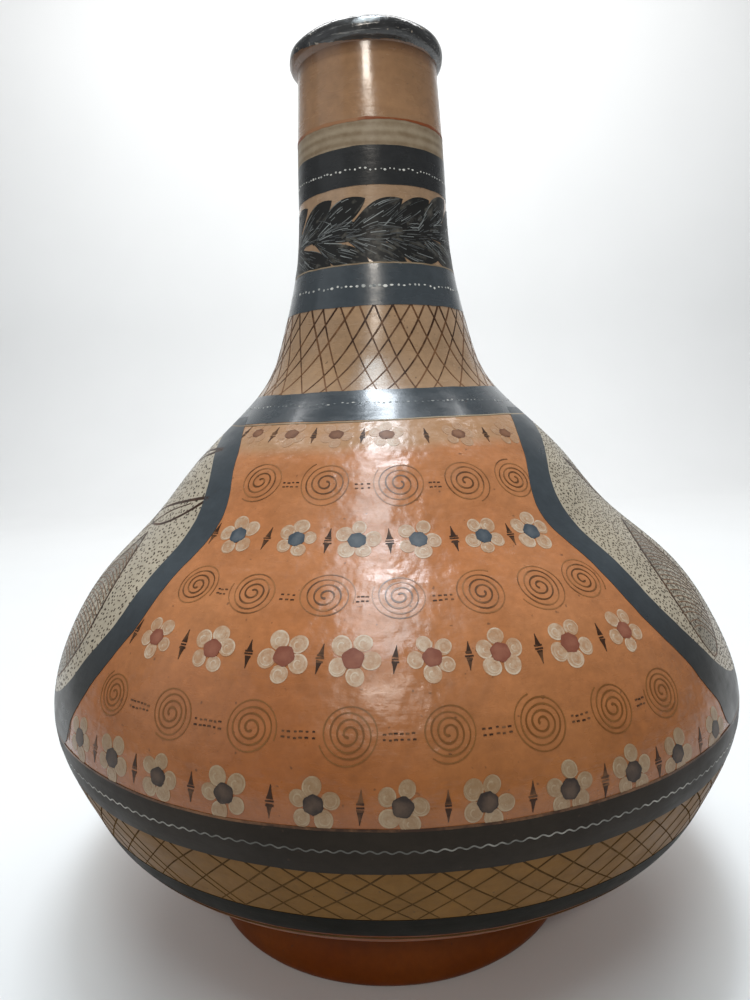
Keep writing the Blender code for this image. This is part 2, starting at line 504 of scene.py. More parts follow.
def orange_material(name):
    """Orange slip with redder clouds, darkened and browned towards the belly as painted shade, and a paler
    wash along its top edge.
    """
    shader = Shader(name)
    colour = mottled(shader, ORANGE, 7.0, streak=0.03)
    # painted shade: darker and browner from height 0.200 down to 0.120, where less light reaches the belly
    colour = darkened_low(shader, colour, (0.50, 0.36, 0.11), 0.120, 0.200)
    drift = shader.times(shader.noise(30.0, 3.0), 0.006)
    wash = shader.remap(shader.add(shader.height(), drift), 0.2535, 0.2580, 0.0, 0.75)
    colour = shader.mix(wash, colour, PALE_WASH)
    return burnished(shader, colour, 0.25, 0.62, 0.42, dents=2.6)


def line_material(name, full, dry, low=0.30, high=0.70, roughness=0.36, gloss=0.15):
    """Brushwork that is dark where the brush was full and lets the ground show where it ran dry."""
    shader = Shader(name)
    load = shader.add(shader.tone(), shader.speckle(0.22, 190.0))
    colour = shader.mix(shader.remap(load, low, high), dry, full)
    return burnished(shader, colour, roughness, 0.25, gloss, 0.0)


def petal_material(name, full, thin):
    """Cream slip so thin that the orange shows through it between scribbled touches."""
    shader = Shader(name)
    brushed = shader.add(shader.speckle(0.30, 420.0, 3.0, 0.7), shader.speckle(0.12, 90.0, 2.0, 0.5))
    colour = shader.mix(shader.remap(shader.add(shader.tone(), brushed), 0.15, 0.95), thin, full)
    return burnished(shader, colour, 0.36, 0.30, 0.4, 0.03)


SPREAD = (0.3, 0.7)                      # nearly all of a noise lies between these
CLOUD_SPREAD = (0.35, 0.65)
RUBBING = (55, 55, 300)                  # a noise stretched into short level strokes
WIDE_RUBBING = (16, 16, 200)
COAT_ROUGHNESS = 0.12
RELIEF_DEPTH = 0.0006
IRON_SPOT = (0.05, 0.03, 0.02)
ORANGE = ((0.400, 0.145, 0.050), (0.450, 0.190, 0.078))
PALE_WASH = (0.375, 0.225, 0.120)
TAN = ((0.315, 0.185, 0.095), (0.365, 0.230, 0.135))
SLATE = ((0.036, 0.043, 0.049), (0.050, 0.059, 0.066))

# Each clay: its two tones, then roughness, bump, gloss, coat and a tint low down (painted shade), as
# clay_material takes them
CLAYS = {
    # the lower tan and the foot's terracotta: their own tan-brown and red-brown, darkened further as painted
    # shade on the pot's shadowed bottom
    "lower_tan_slip": (((0.145, 0.070, 0.016), (0.168, 0.082, 0.021)), 0.42, 0.25, 0.08, 0.0),
    "foot_terracotta": (((0.145, 0.028, 0.001), (0.180, 0.042, 0.003)), 0.36, 0.35, 0.14, 0.0),
    "bare_clay_inside": (((0.300, 0.140, 0.070), (0.340, 0.165, 0.090)), 0.75, 0.8, 0.3, 0.0),
    "slate_slip": (SLATE, 0.25, 0.24, 0.5, 0.25),
    # painted shade: the frames' slate turns browner and darker low on the belly
    "slate_frame_slip": (SLATE, 0.34, 0.24, 0.20, 0.03, ((0.50, 0.33, 0.20), 0.135, 0.200)),
    "black_slip": (((0.017, 0.017, 0.018), (0.028, 0.028, 0.028)), 0.28, 0.30, 0.26, 0.05),
    # painted shade: a browner, darker copy of the slate for the belt, low on the belly
    "belt_black_slip": (((0.018, 0.013, 0.009), (0.027, 0.020, 0.014)), 0.42, 0.25, 0.08, 0.0),
    "leaf_shade_slip": (((0.205, 0.172, 0.125), (0.255, 0.215, 0.155)), 0.36),
    # painted shade: a darker copy of the black for the lowest band, low in the pot's shadow
    "low_shaded_black_slip": (((0.007, 0.006, 0.004), (0.012, 0.010, 0.007)), 0.45, 0.30, 0.04, 0.0),
    "stipple_ground": (((0.385, 0.320, 0.230), (0.435, 0.370, 0.275)), 0.34),
}
# Each brushwork: its colour from a full brush and from a dry one, then line_material's other values
BRUSHWORK = {
    "brown_line": ((0.038, 0.017, 0.009), (0.160, 0.075, 0.034)),
    "coil_line": ((0.100, 0.038, 0.010), (0.270, 0.114, 0.038), 0.30, 0.70, 0.28, 0.45),
    "pale_coil_line": ((0.148, 0.054, 0.011), (0.195, 0.080, 0.021), 0.30, 0.70, 0.28, 0.35),
    "faint_line": ((0.052, 0.030, 0.014), (0.095, 0.053, 0.022), 0.30, 0.70, 0.60, 0.0),
    "white_line": ((0.62, 0.60, 0.55), (0.16, 0.17, 0.17)),
    "grey_line": ((0.26, 0.27, 0.26), (0.07, 0.072, 0.072)),
    "wave_line": ((0.36, 0.34, 0.30), (0.09, 0.085, 0.075), 0.25, 0.85),
    "red_line": ((0.215, 0.058, 0.020), (0.300, 0.145, 0.072), 0.25, 0.80),
    "leaf_black": ((0.018, 0.017, 0.016), (0.130, 0.118, 0.098), 0.05, 0.45, 0.32),
    "cream_band": ((0.320, 0.250, 0.170), (0.200, 0.140, 0.085), 0.10, 0.90, 0.32),
    "dot_ink": ((0.022, 0.016, 0.012), (0.090, 0.060, 0.038), 0.20, 0.80),
    "brown_centre": ((0.130, 0.055, 0.030), (0.230, 0.110, 0.060)),
    "slate_centre": ((0.050, 0.062, 0.075), (0.100, 0.110, 0.120)),
    "red_centre": ((0.190, 0.062, 0.038), (0.260, 0.100, 0.062)),
    "dark_centre": ((0.034, 0.024, 0.020), (0.085, 0.056, 0.040)),
}
clay = {name: clay_material(name, *look) for name, look in CLAYS.items()}
clay["orange_slip"] = orange_material("orange_slip")
clay["tan_slip"] = tan_material("tan_slip")
brushwork = {name: line_material(name, *look) for name, look in BRUSHWORK.items()}
cream_dab = petal_material("cream_dab", (0.52, 0.41, 0.30), (0.370, 0.205, 0.110))
low_cream_dab = petal_material("low_cream_dab", (0.320, 0.230, 0.140), (0.230, 0.135, 0.066))


# ---- the clay members
def wall_thickness(height):
    share = (height - OUTLINE[0][0]) / (OUTLINE[-1][0] - OUTLINE[0][0])
    return WALL_AT_FLOOR + (WALL_AT_LIP - WALL_AT_FLOOR) * share


def inside(height):
    lean = outside_slope(height)
    reach = wall_thickness(height) / np.hypot(1, lean)
    return outside_radius(height) - reach, height + reach * lean


def floor_underside(radius):
    return FLOOR_UNDERSIDE + (OUTLINE[0][0] - FLOOR_UNDERSIDE) * (radius / OUTLINE[0][1]) ** FLOOR_CURVE_POWER


def walls(low, high, rise_low=BEVEL_RISE, rise_high=BEVEL_RISE):
    """Up the outside and down the inside of a shell member, as (radius, height) lists."""
    steps = int((arc_at(high) - arc_at(low)) / WALL_STEP) + 2
    heights = height_at(np.linspace(arc_at(low), arc_at(high), steps))
    outer = list(zip(outside_radius(heights), heights))
    heights = height_at(np.linspace(arc_at(high + rise_high), arc_at(low + rise_low), steps // 2 + 2))
    return outer, list(zip(*inside(heights)))


def turned(name, section, closed, materials, bands, uneven=unevenness):
    """Turns a section round the axis. bands gives each section edge's material number."""
    section = np.array(section, float)
    angle = full_turn(TURNS)[:, None]
    on_axis = section[:, 0] < ON_AXIS
    ring = section if closed else section[~on_axis]
    reach, height = ring.T[:, None, :]
    radius = reach + uneven(angle, height) * np.clip(reach / ROUND_WITHIN, 0, 1)
    points = about_axis(angle, radius, height).reshape(-1, 3)
    width = len(ring)
    number = np.arange(TURNS * width).reshape(TURNS, width)
    after = np.roll(number, -1, axis=0)
    if closed:
        number = np.hstack([number, number[:, :1]])
        after = np.hstack([after, after[:, :1]])
    faces = np.stack([number[:, :-1], after[:, :-1], after[:, 1:], number[:, 1:]], -1)
    indices = np.broadcast_to(np.array(bands)[:faces.shape[1]], faces.shape[:2]).ravel().tolist()
    faces = faces.reshape(-1, 4).tolist()
    if not closed:
        ends = section[on_axis]
        points = np.vstack([points, [(0, 0, h) for _, h in ends]])
        for column, centre, index in ((0, -2, bands[0]), (width - 1, -1, bands[-1])):
            middle = len(points) + centre
            for a, b in zip(number[:, column], np.roll(number[:, column], -1)):
                faces.append([int(a), int(b), middle])
                indices.append(index)
    return finish_mesh(name, points, faces, materials, indices, sharp=32.0)


def make_bowl():
    """The moulded lower half, with the floor."""
    under = [(r, floor_underside(r)) for r in np.linspace(0, SEAT_INNER_RADIUS, FLOOR_STEPS)]
    outer, inner = walls(OUTLINE[0][0], BELLY_SEAM - SEAM_GAP, rise_low=FLOOR_CORNER_RISE)
    corner_radius, corner_height = inner[-1]
    middle = FLOOR_UNDERSIDE + FLOOR_THICKNESS
    floor = [(r, middle + (corner_height - middle) * (r / corner_radius) ** FLOOR_CURVE_POWER)
             for r in np.linspace(corner_radius, 0, FLOOR_STEPS)[1:]]
    bands = [1] * (len(under) - 1) + [1 if h < FOOT_LINE[0] + MM else 0 for _, h in outer]
    bands += [2] * (len(inner) + len(floor) - 2)
    piece = turned("bowl_shell", under + outer + inner + floor, False,
                   [clay["lower_tan_slip"], clay["foot_terracotta"], clay["bare_clay_inside"]], bands)
    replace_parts(piece, "lower_bowl")


def open_shell(name, low, high, slot, rise_high=BEVEL_RISE):
    """A shell member with slip outside and bare clay inside."""
    outer, inner = walls(low, high - SEAM_GAP, rise_high=rise_high)
    bands = [0] * (len(outer) - 1) + [1] * (len(inner) + 1)
    return turned(name, outer + inner, True, [clay[slot], clay["bare_clay_inside"]], bands)


def make_dome():
    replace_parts(open_shell("dome_shell", BELLY_SEAM, SHOULDER_SEAM, "orange_slip"), "upper_dome")


def make_neck():
    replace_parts(open_shell("neck_shell", SHOULDER_SEAM, LIP_SEAM, "tan_slip", LIP_BEVEL_RISE), "neck")


def make_lip():
    bore_radius, bore_height = inside(LIP_SEAM + LIP_BEVEL_RISE)
    section = [*LIP_POINTS, (bore_radius, bore_height + SEAM_GAP)]
    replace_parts(turned("lip_shell", section, True, [clay["tan_slip"]], [0] * len(section),
                       lip_unevenness), "lip_roll")


def make_foot():
    def edge(sole, side, steps=8):
        return [(sole + (side - sole) * math.sin(t), FOOT_EDGE_HEIGHT * (1 - math.cos(t)))
                for t in np.linspace(0, math.pi / 2, steps)]

    seat_inner = (SEAT_INNER_RADIUS, floor_underside(SEAT_INNER_RADIUS) - SEAM_GAP)
    seat_outer = (OUTLINE[0][1], SEAT)
    side = [(FOOT_FLARE_RADIUS + (OUTLINE[0][1] - FOOT_FLARE_RADIUS) * s ** FOOT_SIDE_POWER,
             FOOT_EDGE_HEIGHT + (SEAT - FOOT_EDGE_HEIGHT) * s) for s in np.linspace(0, 1, 12)[1:-1]]
    section = [seat_inner, *reversed(edge(FOOT_SOLE[0], FOOT_INNER_RADIUS)),
               *edge(FOOT_SOLE[1], FOOT_FLARE_RADIUS), *side, seat_outer]
    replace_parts(turned("foot_shell", section, True, [clay["foot_terracotta"]],
                       [0] * len(section)), "foot_ring")


# ---- painted bands
def drifting(amount, seed):
    """A hand-drawn edge: a smooth offset round the pot, as a function of the azimuth in degrees."""
    source = random.Random(seed)
    waves = [(k, source.uniform(0.3, 1.0) * amount / math.sqrt(k), source.uniform(0, 2 * math.pi))
             for k in (1, 2, 3, 5, 8, 13, 21, 34)]
    return lambda azimuth: sum(a * np.sin(k * np.radians(azimuth) + p) for k, a, p in waves)


def band(paint, low, high, seed, columns=9, drift=0.00035, tone=0.5):
    """A painted ring between two heights, with slightly wandering edges."""
    azimuth = ROUND[:, None]
    below = low + drifting(drift, seed)(azimuth)
    above = high + drifting(drift, seed + 1)(azimuth)
    paint.sheet(azimuth, below + (above - below) * np.linspace(0, 1, columns), tone, ring=True)


# How full of slip the brush was on its way up the cream band
CREAM_STRIPES = np.array([.5, .6, .2, .25, .6, .75, .6, .25, .2, .6, .85, .7, .45, .3, .55, .6])
LIP_JOINT = (LIP_SEAM - 0.0022, LIP_SEAM + 0.0018)       # slip over the joint under the lip

# Each object of painted rings: name, material, slot, layer, and the arguments of band for every ring
RINGS = (
    ("slate_bands", clay["slate_slip"], "slate_slip", 2, (*COLLAR, 1), (*LOWER_NECK_BAND, 3, 11)),
    ("belt_band", clay["belt_black_slip"], "slate_slip", 3, (*BELT, 5, 11)),
    ("neck_top_slip", clay["tan_slip"], "tan_slip", 0, (*LIP_JOINT, 29, 6, 0.0001)),
    ("black_neck_band", clay["black_slip"], "black_slip", 2, (*UPPER_NECK_BAND, 7, 11)),
    ("black_base_band", clay["low_shaded_black_slip"], "black_slip", 2, (*LOWEST_BLACK, 9, 8)),
    ("cream_neck_band", brushwork["cream_band"], "cream_slip", 1,
     (*CREAM_BAND, 11, len(CREAM_STRIPES), 0.00035, CREAM_STRIPES)),
    ("brown_foot_line", brushwork["faint_line"], "brown_slip", 1, (*FOOT_LINE, 13, 3, 0.0002)),
)


def make_bands():
    for name, material, slot, layer, *rings in RINGS:
        paint = Paint(layer)
        for ring in rings:
            band(paint, *ring)
        paint.make(name, material, slot)


def make_ring_lines():
    """The thin lines along the belt's and the slate bands' edges, and the red one on the neck."""
    belt_edge = Paint(4)
    belt_edge.stroke(ROUND, BELT[1] + drifting(0.00035, 25)(ROUND), 0.00045, 0.6 + drifting(0.2, 27)(ROUND),
                     ring=True)
    belt_edge.make("belt_top_line", brushwork["brown_line"], "brown_slip")
    edges = Paint(3)
    for height, seed in ((COLLAR[0] - 0.0004, 15), (LOWER_NECK_BAND[1] + 0.0004, 17)):
        wear = 0.5 + drifting(0.5, seed)(ROUND)
        edges.stroke(ROUND, height + drifting(0.0003, seed)(ROUND), 0.00035, wear, ring=True)
    edges.make("cream_edge_lines", brushwork["cream_band"], "cream_slip")
    red = Paint(3)
    width = 0.00075 + drifting(0.00028, 21)(ROUND)
    load = 0.55 + drifting(0.55, 23)(ROUND * 2)
    red.stroke(ROUND, NECK_LINE + drifting(0.0004, 19)(ROUND), width, load, ring=True)
    red.make("red_neck_line", brushwork["red_line"], "red_slip")


# Each row of white touches: height, spacing in degrees, a touch's half width and half height in
# millimetres, how much bigger the touches are in front, and how much fainter the row is
TOUCH_ROWS = (
    (0.3875, 3.6, (0.65, 0.42), 0.0, 0.0),
    (0.3307, 3.7, (0.70, 0.55), 0.5, 0.0),
    (0.2730, 2.4, (0.80, 0.30), 0.0, 0.2),
)
SWELL_REACH = 16             # degrees to either side of the front
WAVE_HEIGHT = 0.1207
WAVE_LENGTH = 1.6            # degrees
WAVE_RISE = 0.00048


def make_white_lines():
    """The rows of small white touches on the bands, and the wavy line on the belt."""
    white = Paint(4)
    turn = full_turn(8)
    for height, spacing, size, bigger, fainter in TOUCH_ROWS:
        azimuth = 0.0
        row = drifting(0.0006, int(height * 1e4))
        while azimuth < 360:
            swell = 1 + bigger * math.exp(-(((azimuth + 180) % 360 - 180) / SWELL_REACH) ** 2)
            wide, tall = (s * MM * swell * random.uniform(0.6, 1.25) for s in size)
            radii = wide * tall / np.hypot(tall * np.cos(turn), wide * np.sin(turn))
            tone = random.uniform(0.35, 0.8) - fainter
            there = height + row(azimuth) + random.gauss(0, 0.00025)
            white.dab(azimuth, there, 0, 0, radii, (0.6, 1.0), [tone] * 3)
            azimuth += spacing * random.uniform(0.7, 1.25)
    white.make("white_touches", brushwork["white_line"], "cream_slip")
    wave = Paint(5)
    azimuth = full_turn(2400, 360)
    phase = azimuth / WAVE_LENGTH * 2 * math.pi + 1.5 * drifting(1.0, 31)(azimuth)
    height = WAVE_HEIGHT + drifting(0.0007, 33)(azimuth) + WAVE_RISE * np.sin(phase)
    wave.stroke(azimuth, height, 0.00027, 0.45 + 0.25 * drifting(1.0, 35)(azimuth * 3), ring=True)
    wave.make("wavy_belt_line", brushwork["wave_line"], "cream_slip")


def lattice(name, material, heights, count, leans, half_width, seed, wander):
    """Two sets of slanting lines that cross, drawn down from just over the higher height past the lower."""
    paint = Paint(1)
    source = random.Random(seed)
    steps = np.linspace(0, 1, 26)
    low, high = arc_at(heights[0] - MM), arc_at(heights[1] + MM)
    for lean in leans:
        for k in range(count):
            start = 360 * k / count + source.uniform(-wander, wander)
            reach = lean * source.uniform(0.88, 1.12)
            height = height_at(high + (low - high) * steps)
            azimuth = start + reach * steps + source.uniform(-1, 1) * 0.04 * lean * np.sin(math.pi * steps)
            load = 0.62 - 0.25 * steps + source.uniform(-0.12, 0.12)
            width = half_width * (1.15 - 0.4 * steps) * source.uniform(0.85, 1.15)
            paint.stroke(azimuth, height, width, load)
    paint.make(name, material, "brown_slip")


def make_lattices():
    lattice("upper_lattice", brushwork["brown_line"], UPPER_LATTICE, 34, (-36, 19), 0.00042, 41, 1.2)
    lattice("lower_lattice", brushwork["faint_line"], LOWER_LATTICE, 76, (-11, 11), 0.00028, 43, 0.7)


# ---- the leaf wreath on the neck
WREATH_HEIGHT = 0.3555
WREATH_PAIRS = 14            # an even number, as neighbours lie on different levels
WREATH_START = -48           # degrees
VEIN_LANES = 15
# Each pair's leaves from the lowest film up: degrees off the pair's azimuth, degrees of rise and how
# much that varies, length and width in millimetres, and how many layers higher the next leaf lies
WREATH_LEAVES = (
    (2, 6, 4, 32, 10.5, 0.12),
    (0, 34, 5, 36, 12.5, 0.25),
    (3, -21, 4, 35, 11.5, 0.0),
)


def leaf(paint, veins, azimuth, height, rise, length, width, source):
    """A brushed leaf from its base at the given point, to the right and up or down by rise degrees."""
    steps = np.linspace(0, 1, 22)
    aim = math.radians(rise)
    bow = source.uniform(-0.02, 0.07) * length * (1 if rise > 0 else -1)
    along = steps * length
    sideways = bow * np.sin(math.pi * steps)
    half = width / 2 * np.sin(math.pi * np.clip(steps ** 1.5 * 0.96 + 0.04, 0, 1)) ** 0.85
    lanes = np.linspace(-1, 1, 9)

    def turned_to_aim(x, y):
        across = x * math.cos(aim) - y * math.sin(aim)
        return near(azimuth, height, across, x * math.sin(aim) + y * math.cos(aim))

    brush = np.array([source.uniform(0.25, 0.75) for _ in lanes])
    load = np.interp(steps, np.linspace(0, 1, 5), [source.uniform(0.2, 0.9) for _ in range(5)])
    tone = 0.7 * brush[None, :] + 0.3 * load[:, None]
    paint.sheet(*turned_to_aim(along[:, None], sideways[:, None] + half[:, None] * lanes), tone)
    for lane in np.linspace(-0.97, 0.97, VEIN_LANES):
        begin = source.uniform(0.05, 0.7)
        end = min(begin + source.uniform(0.08, 0.32), 0.97)
        s = np.linspace(begin, end, 9)
        where = turned_to_aim(s * length, bow * np.sin(math.pi * s)
                              + np.interp(s, steps, half) * lane * source.uniform(0.85, 1.1))
        veins.stroke(*where, 0.00015 * source.uniform(0.7, 1.7) * (1.1 - s * 0.5), source.uniform(0.10, 0.65))


def make_wreath():
    source = random.Random(51)
    leaves = Paint(1)
    veins = Paint(3)
    for k in range(WREATH_PAIRS):
        azimuth = 360 * k / WREATH_PAIRS + source.uniform(-1.5, 1.5) + WREATH_START
        base = WREATH_HEIGHT + source.uniform(-0.0008, 0.0008)
        leaves.lift = LIFT + LAYER * (0.88 + 0.5 * (k % 2))
        for off, rise, vary, length, width, next_lift in WREATH_LEAVES:
            leaf(leaves, veins, azimuth + off, base, rise + source.uniform(-vary, vary),
                 length * MM, width * MM, source)
            leaves.lift += LAYER * next_lift
    leaves.make("wreath_leaves", brushwork["leaf_black"], "black_slip")
    veins.make("wreath_veins", brushwork["grey_line"], "cream_slip")


# ---- the flowered panels
# Each row: height in the panel's middle, its centres' colour, and the azimuths of its flowers
FLOWER_ROWS = (
    (0.2588, "brown", (-43, -28, -13, 2, 24, 42)),
    (0.2176, "slate", (-30, -16.8, -5, 6.5, 19.5, 30.7)),
    (0.1812, "red", (-35.2, -24.5, -13.7, -4.5, 5.7, 14.8, 25.3, 35.7)),
    (0.1366, "dark", (-46.2, -37.5, -28.8, -19.3, -8.7, 1, 10.2, 20, 29, 37, 47)),
)
# Each row: height, coil radius in millimetres, fewest and most turns, and the azimuths of its coils
SPIRAL_ROWS = (
    (0.2388, 11.2, (3.6, 4.1), (-30.5, -13, 4.2, 20.2, 34.2)),
    (0.1995, 10.8, (3.7, 4.2), (-32.7, -21.3, -9.2, 2.2, 15, 25.2, 34.3)),
    (0.1588, 10.5, (3.9, 4.5), (-39.8, -28.3, -16.7, -4.8, 6.7, 18, 28.3, 37.5)),
)
ROW_FALL = 0.00005           # the rows drop this much for each degree to the right
PALE_BELOW = 0.17            # the coils under this height are paler
SMALL_FLOWER = 0.80          # the top row's flowers against the others'
FAINT_LOAD = -0.42           # and how much less slip they have,
# the flower at this azimuth keeps its full slip as a painted highlight
HIGHLIT_FLOWER_AZIMUTH = 2            # apart from the one here
PETALS = 5
PETAL_REACH = 6.3            # millimetres, as the next two
PETAL_RADIUS = 3.5
CENTRE_RADIUS = 3.8
COIL_START = 0.9 * MM
DASH_PITCH = 2.0             # millimetres from one touch to the next
DASH_SHORTEST = 4 * MM       # no touches where less room than this is left between coils


CENTRE_SLOTS = {"brown": "brown_slip", "slate": "slate_slip", "red": "red_slip", "dark": "brown_slip"}


def flower(parts, azimuth, height, colour, size, load, source):
    """Five thin round dabs with paler rims about a dark middle. load makes the dabs fuller or fainter."""
    low = colour == "dark"
    turn = source.uniform(0, 360 / PETALS)
    around = full_turn(20)
    for k in range(PETALS):
        angle = math.radians(turn + 360 / PETALS * k + source.uniform(-6, 6))
        reach = PETAL_REACH * MM * size * source.uniform(0.94, 1.06)
        radii = PETAL_RADIUS * MM * size * source.uniform(0.90, 1.08)
        radii = radii * (1 + 0.05 * np.sin(2 * around + source.uniform(0, 6)))
        wash = load + source.uniform(-0.10, 0.10)
        rim = wash + 0.56 + 0.24 * np.sin(around + source.uniform(0, 6)) + 0.12 * np.sin(4 * around + angle)
        tones = (0.42 + wash, 0.30 + wash, 0.40 + wash, 0.32 + wash, rim, rim - 0.10)
        across, up = reach * math.cos(angle), reach * math.sin(angle)
        parts["petals", low].dab(azimuth, height, across, up, radii, (0.3, 0.55, 0.80, 0.88, 1.0), tones)
        curl = np.linspace(0, 1, 26)
        swing = source.uniform(0, 6) + curl * 2 * math.pi * source.uniform(1.0, 1.7)
        inner = (0.7 + 2.3 * curl ** 0.7) * MM * size * source.uniform(0.85, 1.1)
        off = source.uniform(-0.4, 0.4) * MM
        course = near(azimuth, height, across + off + inner * np.cos(swing), up + inner * np.sin(swing))
        fullness = 0.55 + wash + 0.3 * np.sin(swing * 0.7)
        parts["curls", low].stroke(*course, 0.00022 * (1.2 - curl * 0.6), fullness)
    corners = source.choice((5, 6, 7))
    oval = 0.14 if colour == "brown" else 0.03
    outline = 1 + 0.06 * np.cos(corners * around + source.uniform(0, 6)) + oval * np.cos(2 * around)
    parts[colour].dab(azimuth, height, 0, 0, CENTRE_RADIUS * MM * size * outline, (0.45, 0.8, 1.0),
                      (0.35, 0.45, 0.6, 0.75))


def spiral(paint, azimuth, height, radius, turns, source):
    """A coil drawn from its middle out, clockwise."""
    angle = np.linspace(0, 2 * math.pi * turns, int(turns * 36))
    start = source.uniform(0, 2 * math.pi)
    share = angle / angle[-1]
    reach = (COIL_START + (radius - COIL_START) * share ** 0.92) * (1 + 0.025 * np.sin(angle * 2.3 + start))
    across = reach * np.cos(start - angle)
    up = reach * np.sin(start - angle) * source.uniform(0.95, 1.04)
    load = 0.80 - 0.46 * share + 0.16 * np.sin(angle * 1.7 + start * 3)
    width = 0.00031 * (1.30 - 0.55 * share) * (1 + 0.15 * np.sin(angle * 3.1))
    paint.stroke(*near(azimuth, height, across, up), width, load)


def dashes(paint, azimuth, height, length, source):
    """Two short rows of tiny touches that join one coil to the next."""
    count = max(3, int(length / (DASH_PITCH * MM)))
    for row in (-1, 1):
        for k in range(count):
            x = (k + 0.5 - count / 2) * length / count + source.uniform(-0.2, 0.2) * MM
            y = row * 1.05 * MM + source.uniform(-0.2, 0.2) * MM
            half = source.uniform(0.45, 0.75) * MM
            path = near(azimuth, height, np.linspace(x - half, x + half, 3), y + np.array([0, 0.12, 0]) * MM)
            paint.stroke(*path, 0.00030, source.uniform(0.4, 0.8))


def spindle(paint, azimuth, height, size, source):
    """A pair of spikes, point up and point down, with two or three bars between them."""
    tilt = source.uniform(-0.05, 0.22)
    for way in (1, -1):
        s = np.linspace(0, 1, 8)
        up = way * (0.8 + 5.0 * s) * MM * size
        half = 1.15 * MM * size * (1 - s) ** 1.3 + 0.14 * MM
        paint.stroke(*near(azimuth, height, up * tilt, up), half, source.uniform(0.5, 0.85))
    for y in (-1.3, 0.0, 1.3)[:source.choice((2, 3, 3))]:
        x = np.linspace(-1.6, 1.6, 5) * MM * size * source.uniform(0.7, 1.15)
        paint.stroke(*near(azimuth, height, x, (y + source.uniform(-0.2, 0.2)) * MM * size + 0 * x), 0.00032,
                     source.uniform(0.5, 0.8))


def make_panels():
    """The front panel, and the same design again on the far side."""
    for side, middle, seed in (("front", 0, 61), ("back", 180, 67)):
        source = random.Random(seed)
        parts = {colour: Paint(3) for colour in CENTRE_SLOTS}
        for low in (False, True):
            parts["petals", low] = Paint(1)
            parts["curls", low] = Paint(2)
        ink = Paint(1)
        pale_ink = Paint(1)
        marks = Paint(1)
        for height, colour, azimuths in FLOWER_ROWS:
            top_row = colour == "brown"
            shrink = SMALL_FLOWER if top_row else 1.0
            for i, azimuth in enumerate(azimuths):
                there = height - ROW_FALL * azimuth
                # one flower of the top row stays full: a painted highlight
                load = FAINT_LOAD if top_row and azimuth != HIGHLIT_FLOWER_AZIMUTH else 0.0
                size = shrink * source.uniform(0.93, 1.05)
                flower(parts, middle + azimuth, there, colour, size, load, source)
                step = (azimuths[i] - azimuths[i - 1]) if i else (azimuths[1] - azimuths[0])
                size = shrink * source.uniform(0.9, 1.08)
                spindle(marks, middle + azimuth - step * 0.47, there, size, source)
        for height, radius, turns, azimuths in SPIRAL_ROWS:
            for i, azimuth in enumerate(azimuths):
                there = height - ROW_FALL * azimuth
                spiral(pale_ink if height < PALE_BELOW else ink, middle + azimuth, there,
                       radius * MM * source.uniform(0.93, 1.05), source.uniform(*turns), source)
                if i:
                    between = (azimuth + azimuths[i - 1]) / 2
                    gap = math.radians(azimuth - azimuths[i - 1]) * float(outside_radius(there))
                    length = gap - 2 * radius * MM - 1.5 * MM
                    if length > DASH_SHORTEST:
                        dashes(marks, middle + between, there - 0.0005, length, source)
        for low, name, material in ((False, "petal", cream_dab), (True, "low_petal", low_cream_dab)):
            parts["petals", low].make(f"{side}_{name}s", material, "cream_slip")
            parts["curls", low].make(f"{side}_{name}_curls", material, "cream_slip")
        for colour, slot in CENTRE_SLOTS.items():
            parts[colour].make(f"{side}_{colour}_centres", brushwork[colour + "_centre"], slot)
        ink.make(f"{side}_spirals", brushwork["coil_line"], "brown_slip")
        pale_ink.make(f"{side}_pale_spirals", brushwork["pale_coil_line"], "brown_slip")
        marks.make(f"{side}_marks", brushwork["brown_line"], "brown_slip")


# ---- the stippled panels at the sides
# Half widths in degrees from the panel's middle, and heights, from the bottom up
STIPPLED_EDGE = ((0, 0.1345), (13, 0.1362), (24, 0.1405), (31, 0.1465), (35, 0.1535), (37.2, 0.1600),
                 (40.2, 0.1700), (42.7, 0.1800), (43.8, 0.1900), (44.2, 0.2020), (45.3, 0.2120),
                 (45.2, 0.2220), (43.7, 0.2310), (38.8, 0.2420), (31.5, 0.2500), (22, 0.2570), (10, 0.2640),
                 (4, 0.2680))
FRAME_EDGE = ((0, 0.1250), (20, 0.1250), (33, 0.1262), (37.2, 0.1295), (39.8, 0.1410), (41.8, 0.1495),
              (43.8, 0.1600), (47, 0.1738), (49.5, 0.1865), (50.3, 0.1988), (51.2, 0.2070), (53.2, 0.2170),
              (53.5, 0.2250), (52.1, 0.2333), (48, 0.2440), (43, 0.2542), (34, 0.2650), (30, 0.2690))
SIDES = {"right": (90, 71), "left": (270, 73)}       # the panel's middle azimuth, and its random seed
DOTTED = (0.1362, 0.2640)                            # the lowest and highest row of dots
DOT_SPACING = {"left": 0.0028, "right": 0.0020}
DOT_RADIUS = {"left": (0.42, 0.72), "right": (0.34, 0.58)}     # millimetres

# Each leaf: its base and tip (degrees towards the front from the panel's middle, height), half width and
# bow in millimetres, and how many veins hatch it
SIDE_LEAVES = {
    "left": (
        ((6, 0.2440), (34, 0.2535), 2.2, 2, 0),
        ((14, 0.2190), (45.0, 0.2325), 6.0, -3, 0),
        ((25, 0.1480), (24, 0.2130), 24.0, -5, 26),
        ((2, 0.1480), (4, 0.2200), 12.0, 0, 16),
        ((-2, 0.2200), (-32, 0.2480), 6.5, 3, 0),
        ((-8, 0.1500), (-34, 0.1960), 10.0, -4, 14),
        ((-6, 0.2080), (-42, 0.2150), 6.0, 2, 0),
    ),
    "right": (
        ((34.5, 0.1560), (19.5, 0.2100), 19.0, -3, 22),
        ((0, 0.2120), (24, 0.2420), 6.0, -3, 10),
        ((-4, 0.1500), (-12, 0.2160), 9.0, 0, 16),
        ((-10, 0.2200), (-34, 0.2440), 6.5, 3, 0),
        ((-16, 0.1500), (-38, 0.1960), 9.0, -4, 14),
    ),
}
# A stem on the left panel: points in the same measure
LEFT_STEM = ((2, 0.2080), (16, 0.2130), (28, 0.2235), (38, 0.2290))


